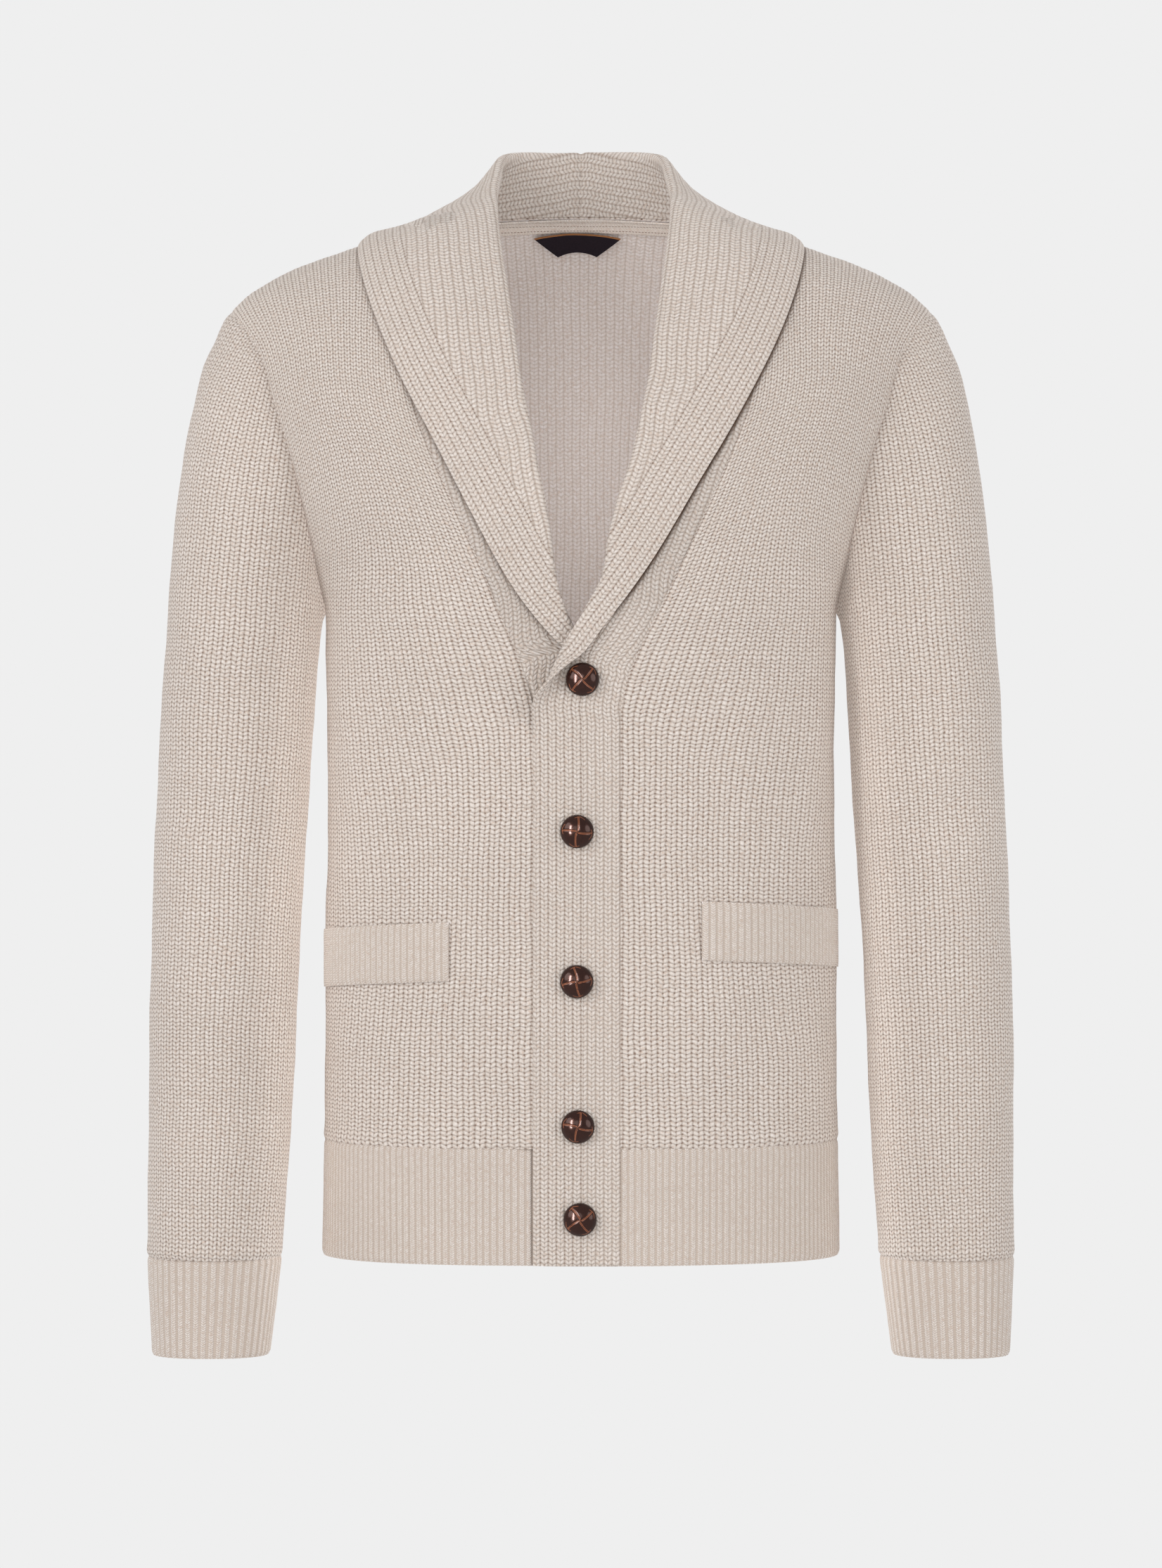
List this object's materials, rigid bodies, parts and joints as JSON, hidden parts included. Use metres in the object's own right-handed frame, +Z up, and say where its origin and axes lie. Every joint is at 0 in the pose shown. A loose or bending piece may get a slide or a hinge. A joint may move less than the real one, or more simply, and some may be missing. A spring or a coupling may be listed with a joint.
{
  "type": "shawl collar cardigan",
  "caption": "Shawl collar cardigan in worn form: hollow knitted body and sleeves, ribbed hem and cuffs, rolled collar on a buttoned band, and welt pockets.",
  "frame": {"origin": "midway between the two neck points of the shoulder seams, where the wearer's neck comes out", "axes": "+Z up, -Y out of the front, +X to the wearer's left"},
  "size_m": [0.5438, 0.2507, 0.7652],
  "materials": {
    "knit": "matt plain knit in oatmeal yarn",
    "rib": "matt rib knit in oatmeal yarn",
    "tape": "fine plain knit tape",
    "label": "blank satin weave",
    "button_leather": "polished woven leather"
  },
  "bodies": {
    "root": {"back": "knit", "front_left": "knit", "front_right": "knit", "sleeve_left": "knit", "sleeve_right": "knit", "collar_left": "rib", "collar_right": "rib", "hem_back": "rib", "hem_front_left": "rib", "hem_front_right": "rib", "cuff_left": "rib", "cuff_right": "rib", "pocket_welt_left": "rib", "pocket_welt_right": "rib", "neck_tape": "tape", "neck_label": "label", "button_1": "button_leather", "button_2": "button_leather", "button_3": "button_leather", "button_4": "button_leather", "button_5": "button_leather"}
  },
  "joints": []
}
